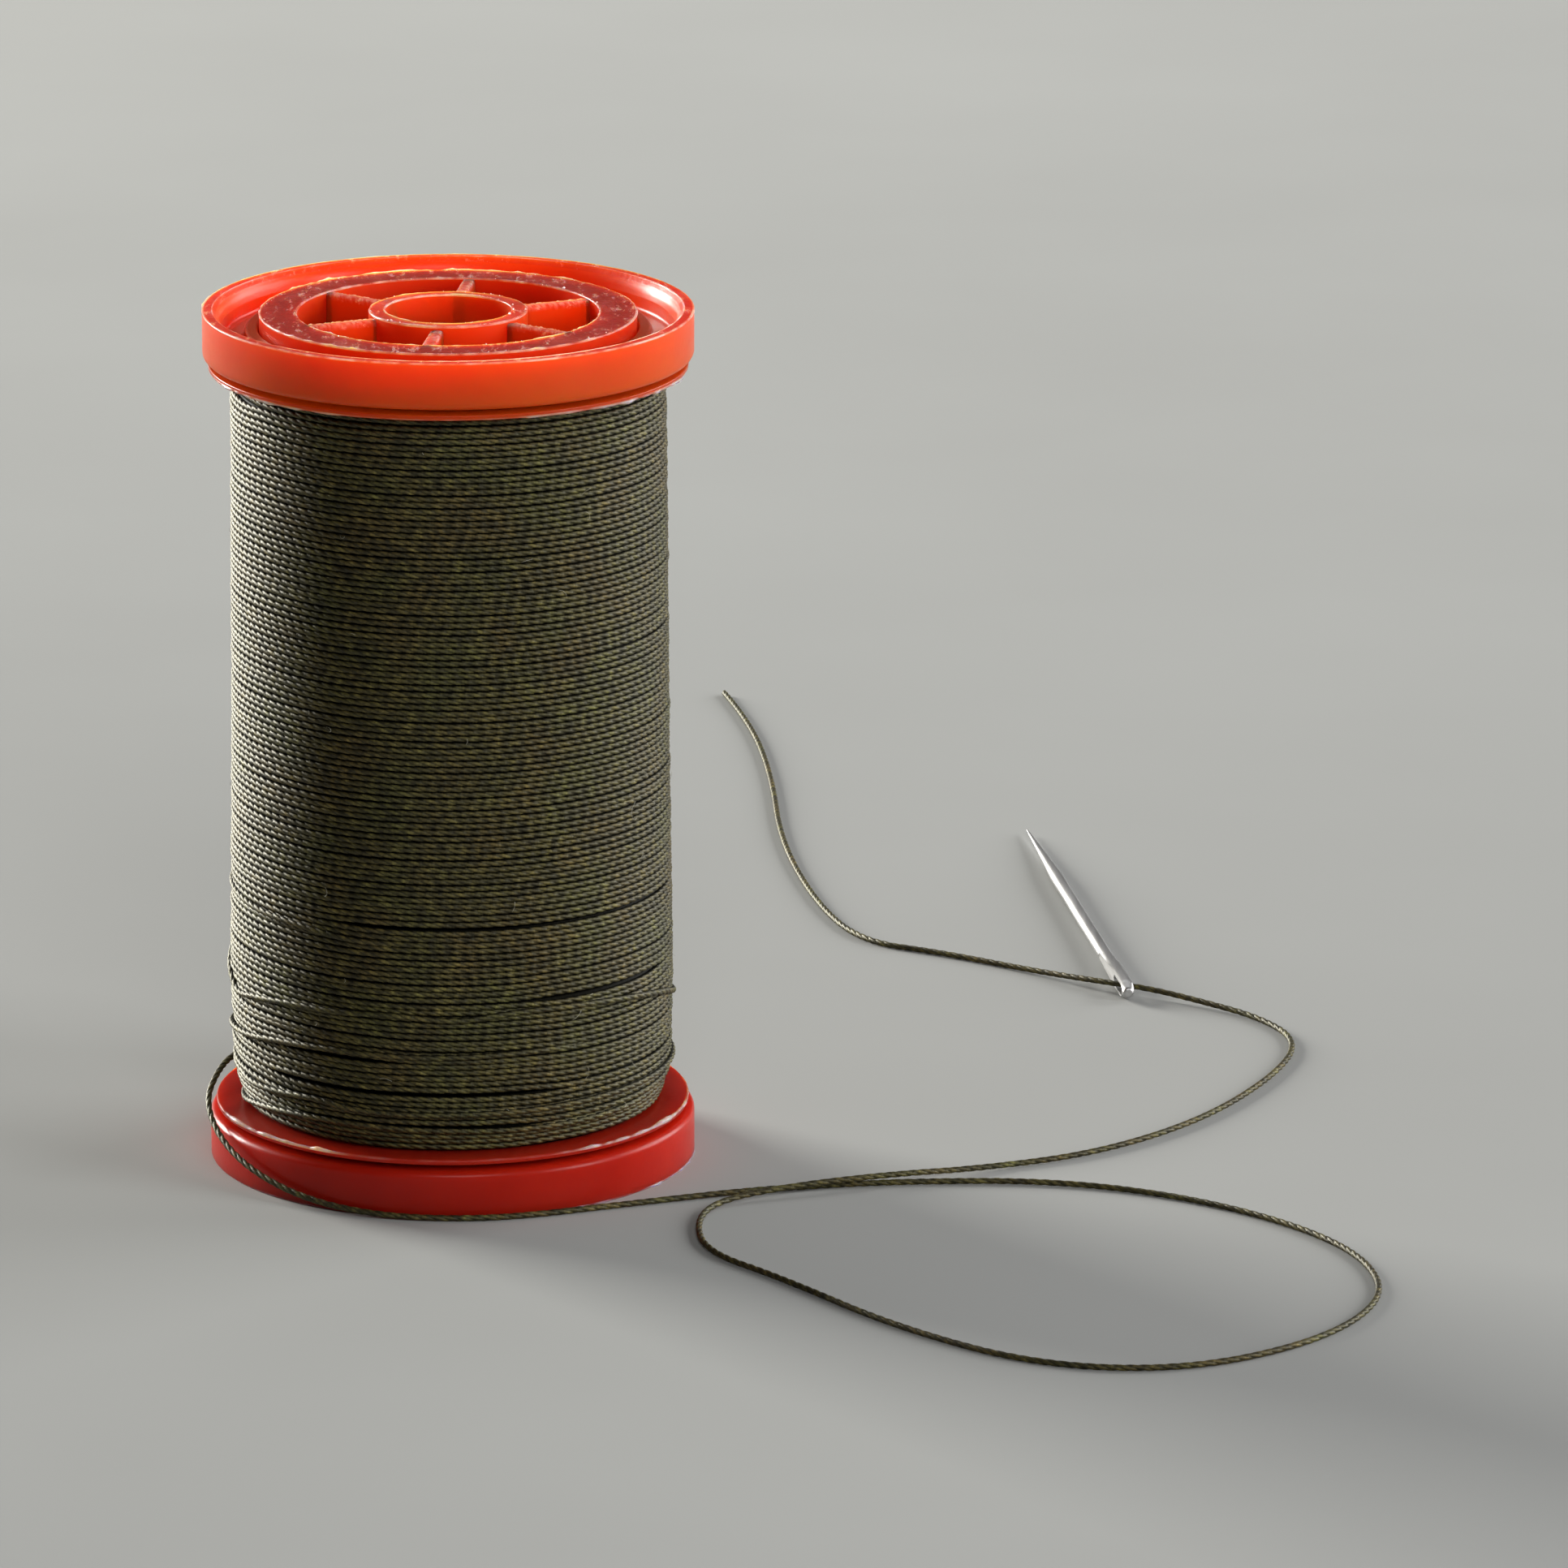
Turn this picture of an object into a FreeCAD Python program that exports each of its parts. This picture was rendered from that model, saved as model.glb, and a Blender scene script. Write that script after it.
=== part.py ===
import FreeCAD, Part
import math
import os

# A snap spool of heavy sewing thread, standing on end, with its free tail laid
# on the table and threaded through a hand-sewing needle. All sizes are in mm.
# The origin is the centre of the spool's bottom face and +Z is the spool axis.

# Driving dimensions: spool
SPOOL_HEIGHT = 51.7
RIM_RADIUS = 14.5
THREAD_DIAMETER = 0.38

# Barrel: the tube that the thread is wound on
BARREL_RADIUS = 10.4
BARREL_BORE_RADIUS = 9.5

# End flange: lip, end ring and the spigot pressed into the barrel
FLANGE_BORE_RADIUS = 8.9
END_RING_RADIUS = 11.15
END_RING_RECESS = 0.22
END_RING_EDGE = 0.12
LIP_RADIUS = 14.15
LIP_THICKNESS = 0.3
LIP_INNER_FACE = 3.5
LIP_EDGE = 0.12
SPIGOT_LENGTH = 6.0

# Hub core: spool-pin tube and the six ribs that hold it in the end flanges
HUB_BORE_RADIUS = 3.73
HUB_RADIUS = 4.69
HUB_RECESS = 0.08
RIB_COUNT = 6
RIB_THICKNESS = 0.75
RIB_RECESS = 0.3
FIRST_RIB_ANGLE = 23.3

# Snap cap: the flexing rim that traps the thread against the flange's lip
CAP_DEPTH = 2.85
CAP_SLIDE_GAP = 0.06
CAP_COLLAR_RADIUS = 12.0
CAP_COLLAR_TOP = 1.1
RIM_LAND_RADIUS = 13.95
RIM_BEVEL_RADIUS = 13.35
RIM_BEVEL_DEPTH = 1.0
TROUGH_DEPTH = 1.85
RIM_EDGE = 0.18
TROUGH_FILLET = 0.3

# Winding: packed inner layers under one visible outer layer
INNER_LAYERS_RADIUS = 12.2
OUTER_LAYER_PROFILE = [
    # (height above the table, radius)
    (3.5, 12.45),
    (4.6, 12.8),
    (5.8, 13.1),
    (11.0, 13.24),
    (17.0, 13.16),
    (27.0, 13.04),
    (43.0, 12.92),
    (SPOOL_HEIGHT - LIP_INNER_FACE, 12.86),
]

# Needle, lying flat with the tail through its eye
NEEDLE_LENGTH = 39.5
NEEDLE_SHAFT_RADIUS = 0.42
NEEDLE_POINT_LENGTH = 12.0
NEEDLE_TIP_RADIUS = 0.06
EYE_TO_BUTT = 1.9
EYE_RADIUS = 0.6
EYE_HALF_WIDTH = 0.38
EYE_SLOT_LENGTH = 3.0
EYE_SLOT_HEIGHT = 0.6
EYE_TAPER_END = 7.0
EYE_POSITION = FreeCAD.Vector(41.4, 32.7, 0.62)
NEEDLE_HEADING = 7.8
NEEDLE_TILT = 0.4

# Tail: the route of the thread's centre line, from the winding to its cut end
TABLE = 0.2
OVER_THREAD = 0.66
IN_EYE = EYE_POSITION.z
TAIL_ROUTE = [
    # off the winding and down over the bottom rim
    (-11.3, 6.5, 5.0),
    (-13.2, 3.1, 5.0),
    (-14.1, -0.5, 4.9),
    (-14.7, -3.2, 3.8),
    (-13.7, -6.4, 2.4),
    (-11.6, -9.7, 1.4),
    (-8.4, -12.5, 0.6),
    (-4.5, -14.35, 0.26),
    (-0.4, -15.05, TABLE),
    (4.0, -14.7, TABLE),
    (11.0, -11.9, TABLE),
    # away to the right and round the big loop
    (19.0, -8.9, TABLE),
    (27.5, -7.5, TABLE),
    (36.0, -7.5, TABLE),
    (43.4, -10.5, TABLE),
    (49.8, -16.0, TABLE),
    (53.7, -22.6, TABLE),
    (54.4, -30.3, TABLE),
    (50.4, -38.0, TABLE),
    (42.6, -43.4, TABLE),
    (34.0, -42.6, TABLE),
    (26.1, -35.6, TABLE),
    (19.6, -26.4, TABLE),
    (15.2, -21.4, TABLE),
    (14.6, -15.3, TABLE),
    (16.0, -11.6, 0.3),
    # over its own first stretch, then back towards the needle
    (20.6, -9.8, OVER_THREAD),
    (26.4, -7.6, OVER_THREAD),
    (31.5, -5.0, TABLE),
    (38.6, -1.9, TABLE),
    (45.3, 5.0, TABLE),
    (50.1, 14.4, TABLE),
    (51.9, 21.6, TABLE),
    (49.8, 26.8, TABLE),
    (45.6, 30.3, 0.4),
    # through the eye and away to the cut end
    (42.9, 31.9, IN_EYE),
    (39.9, 33.5, IN_EYE),
    (36.0, 37.2, TABLE),
    (30.0, 41.5, TABLE),
    (25.0, 44.0, TABLE),
    (22.2, 53.0, TABLE),
    (20.0, 68.0, TABLE),
    (19.5, 84.0, TABLE),
    (18.1, 98.0, TABLE),
    (16.3, 106.0, TABLE),
]
ARC_SHARE_OF_RUN = 0.45

AXIS = FreeCAD.Vector(0, 0, 1)
ORIGIN = FreeCAD.Vector(0, 0, 0)
FULL_TURN = 360


def corner_turn(before, corner, after):
    """Angle in radians through which a path turns at a corner."""
    return (corner - before).getAngle(after - corner)


def rounded_wire(points, radii, closed=False):
    """Straight runs joined by tangent arcs, one radius for each corner."""
    count = len(points)
    starts, ends, arcs = list(points), list(points), [None] * count
    corners = range(count) if closed else range(1, count - 1)
    for i in corners:
        if radii[i] <= 0:
            continue
        corner = points[i]
        back = (points[i - 1] - corner).normalize()
        ahead = (points[(i + 1) % count] - corner).normalize()
        turn = corner_turn(points[i - 1], corner, points[(i + 1) % count])
        tangent = radii[i] * math.tan(turn / 2)
        rise = radii[i] / math.cos(turn / 2) - radii[i]
        starts[i] = corner + back * tangent
        ends[i] = corner + ahead * tangent
        middle = corner + (back + ahead).normalize() * rise
        arcs[i] = Part.Arc(starts[i], middle, ends[i]).toShape()
    edges = []
    for i in range(count):
        if arcs[i]:
            edges.append(arcs[i])
        if closed or i < count - 1:
            edges.append(Part.LineSegment(ends[i], starts[(i + 1) % count]).toShape())
    return Part.Wire(edges)


def turned(outline):
    """Solid of revolution about Z from (radius, height, corner radius) points."""
    points = [FreeCAD.Vector(radius, 0, height) for radius, height, _ in outline]
    radii = [corner for _, _, corner in outline]
    face = Part.Face(rounded_wire(points, radii, closed=True))
    return face.revolve(ORIGIN, AXIS, FULL_TURN)


def flipped(shape):
    """The same piece at the spool's other end."""
    turned_over = shape.copy()
    turned_over.rotate(FreeCAD.Vector(0, 0, SPOOL_HEIGHT / 2), FreeCAD.Vector(1, 0, 0), 180)
    return turned_over


def sleeve(inner_radius, outer_radius, end_gap):
    """Plain tube that stops short of both ends of the spool by the gap."""
    top = SPOOL_HEIGHT - end_gap
    return turned([
        (inner_radius, end_gap, 0),
        (outer_radius, end_gap, 0),
        (outer_radius, top, 0),
        (inner_radius, top, 0),
    ])


def barrel_tube():
    """Thin tube between the two end flanges."""
    return sleeve(BARREL_BORE_RADIUS, BARREL_RADIUS, LIP_INNER_FACE)


def bottom_end_flange():
    """Thickened end ring, thin lip and spigot in one piece."""
    lip_outer_face = LIP_INNER_FACE - LIP_THICKNESS
    spigot_end = LIP_INNER_FACE + SPIGOT_LENGTH
    return turned([
        (FLANGE_BORE_RADIUS, END_RING_RECESS, END_RING_EDGE),
        (END_RING_RADIUS, END_RING_RECESS, END_RING_EDGE),
        (END_RING_RADIUS, lip_outer_face, 0),
        (LIP_RADIUS, lip_outer_face, LIP_EDGE),
        (LIP_RADIUS, LIP_INNER_FACE, LIP_EDGE),
        (BARREL_BORE_RADIUS, LIP_INNER_FACE, 0),
        (BARREL_BORE_RADIUS, spigot_end, 0),
        (FLANGE_BORE_RADIUS, spigot_end, 0),
    ])


def hub_core():
    """Spool-pin tube with ribs that reach the flanges' bores."""
    tube = sleeve(HUB_BORE_RADIUS, HUB_RADIUS, HUB_RECESS)
    rib_height = SPOOL_HEIGHT - 2 * RIB_RECESS
    wall_middle = (HUB_BORE_RADIUS + HUB_RADIUS) / 2
    flange_bore = Part.makeCylinder(FLANGE_BORE_RADIUS, SPOOL_HEIGHT)
    ribs = []
    for i in range(RIB_COUNT):
        corner = FreeCAD.Vector(wall_middle, -RIB_THICKNESS / 2, RIB_RECESS)
        rib = Part.makeBox(FLANGE_BORE_RADIUS, RIB_THICKNESS, rib_height, corner)
        rib.rotate(ORIGIN, AXIS, FIRST_RIB_ANGLE + i * FULL_TURN / RIB_COUNT)
        ribs.append(rib.common(flange_bore))
    return tube.fuse(ribs).removeSplitter()


def bottom_snap_cap():
    """Rim, trough and collar, sliding on the flange's end ring."""
    collar_bore = END_RING_RADIUS + CAP_SLIDE_GAP
    return turned([
        (collar_bore, CAP_COLLAR_TOP, RIM_EDGE),
        (CAP_COLLAR_RADIUS, CAP_COLLAR_TOP, RIM_EDGE),
        (CAP_COLLAR_RADIUS, TROUGH_DEPTH, TROUGH_FILLET),
        (RIM_BEVEL_RADIUS, TROUGH_DEPTH, TROUGH_FILLET),
        (RIM_BEVEL_RADIUS, RIM_BEVEL_DEPTH, TROUGH_FILLET),
        (RIM_LAND_RADIUS, 0, 0),
        (RIM_RADIUS, 0, RIM_EDGE),
        (RIM_RADIUS, CAP_DEPTH, RIM_EDGE),
        (collar_bore, CAP_DEPTH, 0),
    ])


def winding_inner_layers():
    """Everything wound under the outer layer, as one packed sleeve."""
    return sleeve(BARREL_RADIUS, INNER_LAYERS_RADIUS, LIP_INNER_FACE)


def winding_outer_layer():
    """The visible layer, fullest low down and drawn in at the foot."""
    outside = [(radius, height, 0) for height, radius in OUTER_LAYER_PROFILE]
    inside = [
        (INNER_LAYERS_RADIUS, SPOOL_HEIGHT - LIP_INNER_FACE, 0),
        (INNER_LAYERS_RADIUS, LIP_INNER_FACE, 0),
    ]
    return turned(outside + inside)


def tail_radii(points):
    """Largest arc that each corner's two runs allow."""
    radii = [0.0]
    for before, corner, after in zip(points, points[1:], points[2:]):
        shorter = min((corner - before).Length, (after - corner).Length)
        turn = corner_turn(before, corner, after)
        radii.append(ARC_SHARE_OF_RUN * shorter / math.tan(turn / 2))
    return radii + [0.0]


def thread_tail():
    """Round tube along the tail's route."""
    points = [FreeCAD.Vector(*point) for point in TAIL_ROUTE]
    radii = tail_radii(points)
    path = rounded_wire(points, radii)
    section = Part.makeCircle(THREAD_DIAMETER / 2, points[0], points[1] - points[0])
    tube = path.makePipe(Part.Face(Part.Wire(section)))
    expected = math.pi * THREAD_DIAMETER ** 2 / 4 * path.Length
    print("tail length %.1f, smallest radius %.2f" % (path.Length, min(radii[1:-1])))
    print("tail radii", " ".join("%.1f" % radius for radius in radii[1:-1]))
    print("tail volume / (section x length) = %.4f" % (tube.Volume / expected))
    return tube


def needle():
    """Tapered shaft with a flattened, slotted eye."""
    tip = NEEDLE_LENGTH - EYE_TO_BUTT
    shaft = turned([
        (0, -EYE_TO_BUTT, 0),
        (EYE_RADIUS * 0.5, -EYE_TO_BUTT, 0.2),
        (EYE_RADIUS, -EYE_SLOT_LENGTH / 3, 1.0),
        (EYE_RADIUS, EYE_SLOT_LENGTH / 2, 3.0),
        (NEEDLE_SHAFT_RADIUS, EYE_TAPER_END, 8.0),
        (NEEDLE_SHAFT_RADIUS, tip - NEEDLE_POINT_LENGTH, 20.0),
        (NEEDLE_TIP_RADIUS, tip, 0),
        (0, tip, 0),
    ])
    flats = Part.makeBox(
        2 * EYE_HALF_WIDTH, 2 * EYE_RADIUS, EYE_TO_BUTT + EYE_TAPER_END,
        FreeCAD.Vector(-EYE_HALF_WIDTH, -EYE_RADIUS, -EYE_TO_BUTT))
    rest = Part.makeCylinder(2 * EYE_RADIUS, NEEDLE_LENGTH, FreeCAD.Vector(0, 0, EYE_TAPER_END))
    body = shaft.common(flats.fuse(rest))
    body = body.cut(eye_slot())
    body.rotate(ORIGIN, FreeCAD.Vector(1, 0, 0), -90 - NEEDLE_TILT)
    body.rotate(ORIGIN, AXIS, NEEDLE_HEADING)
    body.translate(EYE_POSITION)
    return body


def eye_slot():
    """Round-ended slot through the eye, across the needle."""
    half_height = EYE_SLOT_HEIGHT / 2
    reach = EYE_SLOT_LENGTH / 2 - half_height
    across = FreeCAD.Vector(1, 0, 0)
    slot = Part.makeBox(
        2 * EYE_RADIUS, EYE_SLOT_HEIGHT, 2 * reach,
        FreeCAD.Vector(-EYE_RADIUS, -half_height, -reach))
    ends = [
        Part.makeCylinder(half_height, 2 * EYE_RADIUS, FreeCAD.Vector(-EYE_RADIUS, 0, end), across)
        for end in (-reach, reach)
    ]
    return slot.fuse(ends)


def export(name, shape):
    """Write one node and report its volume."""
    solids = shape.Solids
    shape = solids[0] if len(solids) == 1 else shape
    print("%-22s solids %d valid %s volume %.1f" % (name, len(solids), shape.isValid(), shape.Volume))
    shape.exportStep(os.path.join("parts", name + ".step"))


def main():
    os.makedirs("parts", exist_ok=True)
    export("barrel_tube", barrel_tube())
    export("bottom_end_flange", bottom_end_flange())
    export("top_end_flange", flipped(bottom_end_flange()))
    export("hub_core", hub_core())
    export("bottom_snap_cap", bottom_snap_cap())
    export("top_snap_cap", flipped(bottom_snap_cap()))
    export("winding_inner_layers", winding_inner_layers())
    export("winding_outer_layer", winding_outer_layer())
    export("thread_tail", thread_tail())
    export("needle", needle())


main()
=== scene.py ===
import bpy
import math
import numpy as np
from mathutils import Matrix, Vector


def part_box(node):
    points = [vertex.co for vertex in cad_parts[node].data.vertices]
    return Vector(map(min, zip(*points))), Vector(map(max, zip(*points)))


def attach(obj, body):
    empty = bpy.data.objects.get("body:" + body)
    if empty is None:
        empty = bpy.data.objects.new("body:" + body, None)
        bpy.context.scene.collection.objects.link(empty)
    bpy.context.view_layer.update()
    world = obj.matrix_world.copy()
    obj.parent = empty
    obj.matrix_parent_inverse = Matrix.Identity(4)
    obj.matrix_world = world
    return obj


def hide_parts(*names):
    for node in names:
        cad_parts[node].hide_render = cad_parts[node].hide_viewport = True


# A snap spool of heavy sewing thread with its free tail and needle. The wound
# thread and the tail are real three-ply geometry. Lengths are in metres, except
# in the tables and shapes marked as millimetres, which MM turns into metres.

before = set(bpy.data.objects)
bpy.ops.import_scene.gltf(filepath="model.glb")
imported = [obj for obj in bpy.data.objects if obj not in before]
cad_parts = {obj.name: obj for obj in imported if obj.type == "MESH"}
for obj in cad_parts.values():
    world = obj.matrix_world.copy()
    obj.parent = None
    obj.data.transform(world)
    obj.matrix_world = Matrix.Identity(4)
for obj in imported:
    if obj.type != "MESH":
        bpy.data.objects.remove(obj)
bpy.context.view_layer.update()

MM = 0.001

# Spool, read from the frame
SPOOL_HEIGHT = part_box("top_snap_cap")[1].z
WINDING_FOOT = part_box("winding_outer_layer")[0].z
WINDING_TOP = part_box("winding_outer_layer")[1].z

# Thread
THREAD_DIAMETER = 0.38 * MM
THREAD_RADIUS = THREAD_DIAMETER / 2
PLIES = 3
LAY = 2.22 * MM
RINGS_PER_LAY = 12
LAY_DRIFT = (
    # (radians, over a length of mm)
    (2.0, 37.0),
    (1.3, 13.7),
)
# One ply's share of the thread's section: its reach, and how deep in a valley it is, which darkens
# the colour as painted shade
PLY_PROFILE = (1.0, 0.98, 0.9, 0.72, 0.9, 0.98)
PLY_VALLEY_SHADE = (0.0, 0.02, 0.3, 1.0, 0.3, 0.02)

# Winding
PITCH = 0.378 * MM
WINDING_PROFILE_MM = (
    # (height, outer radius), as in the CAD part
    (3.5, 12.45), (4.6, 12.8), (5.8, 13.1), (11.0, 13.24),
    (17.0, 13.16), (27.0, 13.04), (43.0, 12.92), (48.2, 12.86),
)
MEAN_WINDING_RADIUS = 13 * MM
TURNS_PER_PIECE = 12
HEIGHT_JITTER = 0.018 * MM
DEPTH_JITTER = 0.022 * MM
FOOT_LOOSENESS = 1.6
FOOT_REACH = 6 * MM
JITTER_KNOTS_PER_TURN = 3
GAPS = (
    # (height mm, from degrees, to degrees, width mm)
    (17.45, 236, 362, 0.17),
    (12.8, 287, 345, 0.24),
    (47.1, 160, 214, 0.30),
    (9.2, 205, 262, 0.22),
    (7.1, 212, 305, 0.24),
    (5.2, 225, 300, 0.24),
    (30.4, 182, 232, 0.10),
    (24.9, 190, 262, 0.10),
)
GAP_REACH = 2.2 * MM
GAP_FADE = math.radians(14)
INNER_STEPS_ROUND = 96
INNER_ROWS_PER_TURN = 6
INNER_DEPTH = 1.9 * THREAD_RADIUS
INNER_RIDGE = 0.5 * THREAD_RADIUS

# Loose turns over the layer: (degrees round the spool, height mm, lift above the layer mm)
CROSSING_TURNS = {
    "crossing_turn_1": (
        (150, 12.9, -0.3), (172, 12.6, 0.05), (185, 11.8, 0.22), (196, 11.0, 0.2),
        (210, 11.35, 0.22), (224, 11.72, 0.22), (240, 11.85, 0.22), (255, 12.0, 0.2),
        (274, 11.8, 0.2), (287, 12.1, 0.22), (306, 12.05, 0.22), (323, 11.7, 0.22),
        (341, 11.0, 0.22), (360, 9.9, 0.2), (395, 9.0, -0.3),
    ),
    "crossing_turn_2": (
        (168, 7.9, -0.3), (186, 8.35, 0.22), (206, 8.76, 0.26), (218, 9.14, 0.24),
        (236, 9.45, 0.24), (266, 9.5, 0.2), (292, 9.6, 0.12), (318, 9.5, -0.3),
    ),
    "crossing_turn_3": (
        (166, 17.3, -0.3), (188, 17.1, 0.14), (207, 16.85, 0.2), (228, 16.68, 0.2),
        (244, 16.37, 0.14), (266, 16.2, -0.3),
    ),
    "crossing_turn_4": (
        (168, 3.9, -0.3), (191, 3.95, 0.2), (205, 4.4, 0.24), (220, 4.78, 0.26),
        (236, 5.0, 0.24), (265, 4.94, 0.18), (300, 4.8, 0.2), (330, 4.9, 0.14), (352, 4.9, -0.3),
    ),
}
# The thread's last turn, which runs on into the tail
LAST_TURN = (
    (186, 5.9, -0.3), (208, 5.87, 0.24), (223, 6.07, 0.26), (231, 6.2, 0.26), (245, 6.0, 0.24),
    (280, 6.0, 0.24), (327, 6.12, 0.26), (360, 6.05, 0.26), (420, 5.7, 0.26), (470, 5.3, 0.3),
    (492, 5.1, 0.32), (510, 5.0, 0.33),
)

# Tail: the route of the thread's centre line, as in the CAD part, in millimetres
TABLE = 0.2
OVER_THREAD = 0.66
IN_EYE = 0.62
TAIL_ROUTE_MM = (
    # off the winding and down over the bottom rim
    (-11.3, 6.5, 5.0),
    (-13.2, 3.1, 5.0),
    (-14.1, -0.5, 4.9),
    (-14.7, -3.2, 3.8),
    (-13.7, -6.4, 2.4),
    (-11.6, -9.7, 1.4),
    (-8.4, -12.5, 0.6),
    (-4.5, -14.35, 0.26),
    (-0.4, -15.05, TABLE),
    (4.0, -14.7, TABLE),
    (11.0, -11.9, TABLE),
    # away to the right and round the big loop
    (19.0, -8.9, TABLE),
    (27.5, -7.5, TABLE),
    (36.0, -7.5, TABLE),
    (43.4, -10.5, TABLE),
    (49.8, -16.0, TABLE),
    (53.7, -22.6, TABLE),
    (54.4, -30.3, TABLE),
    (50.4, -38.0, TABLE),
    (42.6, -43.4, TABLE),
    (34.0, -42.6, TABLE),
    (26.1, -35.6, TABLE),
    (19.6, -26.4, TABLE),
    (15.2, -21.4, TABLE),
    (14.6, -15.3, TABLE),
    (16.0, -11.6, 0.3),
    # over its own first stretch, then back towards the needle
    (20.6, -9.8, OVER_THREAD),
    (26.4, -7.6, OVER_THREAD),
    (31.5, -5.0, TABLE),
    (38.6, -1.9, TABLE),
    (45.3, 5.0, TABLE),
    (50.1, 14.4, TABLE),
    (51.9, 21.6, TABLE),
    (49.8, 26.8, TABLE),
    (45.6, 30.3, 0.4),
    # through the eye and away to the cut end
    (42.9, 31.9, IN_EYE),
    (39.9, 33.5, IN_EYE),
    (36.0, 37.2, TABLE),
    (30.0, 41.5, TABLE),
    (25.0, 44.0, TABLE),
    (22.2, 53.0, TABLE),
    (20.0, 68.0, TABLE),
    (19.5, 84.0, TABLE),
    (18.1, 98.0, TABLE),
    (16.3, 106.0, TABLE),
)
TAIL_SAMPLES_PER_POINT = 64

# Mouldings, all in millimetres and in the CAD part's own sizes
ROUND = 720
ARC_POINTS = 6
EDGE_SUPPORT = 0.05
END_RING_RADIUS = 11.15
END_RING_RECESS = 0.22
SLIDE_CLEARANCE = 0.03
# Outlines turned round the axis: (radius, height from the spool's end, corner radius, flash)
SNAP_CAP_MM = (
    (11.21, 1.1, 0.18, 0.0),
    (12.0, 1.1, 0.2, 0.02),
    (12.0, 1.85, 0.3, 0.0),
    (13.35, 1.85, 0.3, 0.0),
    (13.35, 1.0, 0.3, 0.0),
    (13.5, 0.45, 1.1, 0.0),
    (13.92, 0.0, 0.1, 0.2),
    (14.5, 0.0, 0.12, 0.24),
    (14.5, 2.85, 0.4, 0.0),
    (11.21, 2.85, 0.0, 0.0),
)
END_FLANGE_MM = (
    (8.9, END_RING_RECESS, 0.12, 0.16),
    (END_RING_RADIUS, END_RING_RECESS, 0.12, 0.24),
    (END_RING_RADIUS, 3.2, 0.0, 0.0),
    (14.15, 3.2, 0.06, 0.0),
    (14.15, 3.5, 0.12, 0.3),
    (9.5, 3.5, 0.0, 0.0),
    (9.5, 9.5, 0.0, 0.0),
    (8.9, 9.5, 0.0, 0.0),
)
HUB_BORE = 3.73
HUB_RADIUS = 4.69
HUB_RECESS = 0.08
HUB_TUBE_MM = (
    (HUB_BORE, HUB_RECESS, 0.1, 0.16),
    (HUB_RADIUS, HUB_RECESS, 0.14, 0.18),
    (HUB_RADIUS, SPOOL_HEIGHT / MM - HUB_RECESS, 0.14, 0.18),
    (HUB_BORE, SPOOL_HEIGHT / MM - HUB_RECESS, 0.1, 0.16),
)

# Ribs between the hub and the end flanges, in millimetres
RIB_COUNT = 6
RIB_THICKNESS = 0.75
RIB_RECESS = 0.3
RIB_REACH = (4.0, 9.2)
RIB_SECTIONS = 48
FIRST_RIB = math.radians(23.3)
RIB_EDGE = (
    # (share of half the rib's thickness, depth below its top, raggedness)
    (1.0, 0.4, 0.0), (1.0, 0.15, 0.01), (0.8, 0.03, 0.045), (0.3, 0.0, 0.03),
)
RIB_TEETH = (-0.4, 1)
RIB_SIDE_TEAR = 0.6

# Torn flash, and wear with painted shade on the end faces. Bursts and teeth are counted per
# millimetre of the moulding's bore radius.
FLASH_BURSTS = 1.2
FINE_TEETH = 22
LONG_TEETH = 10
LEAST_FLASH = 0.15
FINE_TOOTH = 0.4
LONG_TOOTH = 0.9
BOTTOM_LIP_FLASH = (
    # (from degrees, to degrees) where the bottom lip was left untrimmed
    (196, 246),
    (298, 352),
)
TRIM_FADE = 8  # degrees
TRIMMED_SHARE = 0.3
UNTRIMMED_SHARE = 2.2
FULLY_TORN = 0.07
FLASH_WHITENING = 2.8
RIB_WHITENING = 18
WORN_AND_SHADED_DEPTH = 0.32
RIB_WORN_AND_SHADED_DEPTH = 0.2

# Crumbs left by trimming, in millimetres
CRUMB_COUNT = 150
CRUMB_LEAST = 0.035
CRUMB_SPREAD = 0.1
CRUMB_SCATTER = 0.04
CRUMB_SPOKES = (0.35, 1.2)
CRUMB_ROUGHNESS = 0.15
CRUMB_EDGES = (
    # (radius, depth below the spool's top)
    (HUB_BORE + 0.12, HUB_RECESS),
    (HUB_RADIUS - 0.1, HUB_RECESS),
    (8.98, END_RING_RECESS),
    (10.92, END_RING_RECESS),
)

# Stray fibres on the winding, in millimetres and radians
FIBRE_COUNT = 70
FIBRE_SIDES = 4
FIBRE_STEPS = 7
FIBRE_MARGIN = 1
FIBRE_LEAST = 0.15
FIBRE_SPREAD = 0.9
FIBRE_LEAN = 1.2
FIBRE_CURL = 1.2
FIBRE_LIFT = 0.12
FIBRE_RADII = (0.008, 0.014)
FIBRE_GAP = 0.03
FIBRE_ARCH = 0.7 * math.pi

# Plastics: one red plastic in copies of different brightness, the top cap's brighter as painted
# light and the foot's darker as painted shade; what rubbing adds, scuffs on the end faces, and torn
# edges
PLASTICS = (
    # (name, deep colour, bright colour, colour of an end face with wear, darkened as painted shade)
    ("cap_plastic", (0.61, 0.056, 0.006), (0.69, 0.077, 0.008), (0.44, 0.026, 0.009)),
    ("foot_plastic_painted_shade", (0.36, 0.008, 0.003), (0.43, 0.012, 0.004), (0.30, 0.009, 0.005)),
    ("ring_plastic", (0.60, 0.030, 0.005), (0.68, 0.042, 0.006), (0.33, 0.018, 0.008)),
    ("hub_plastic", (0.48, 0.040, 0.005), (0.58, 0.056, 0.006), (0.48, 0.036, 0.013)),
)
RUBBED_LIGHTER = (0.12, 0.06, 0.05)
# Pale scuffs on the end faces: scratches, with painted glints among them.
SCUFF_AND_GLINT_COLOUR = (0.74, 0.34, 0.28, 1)
TORN_COLOUR = (0.94, 0.44, 0.44, 1)

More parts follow.
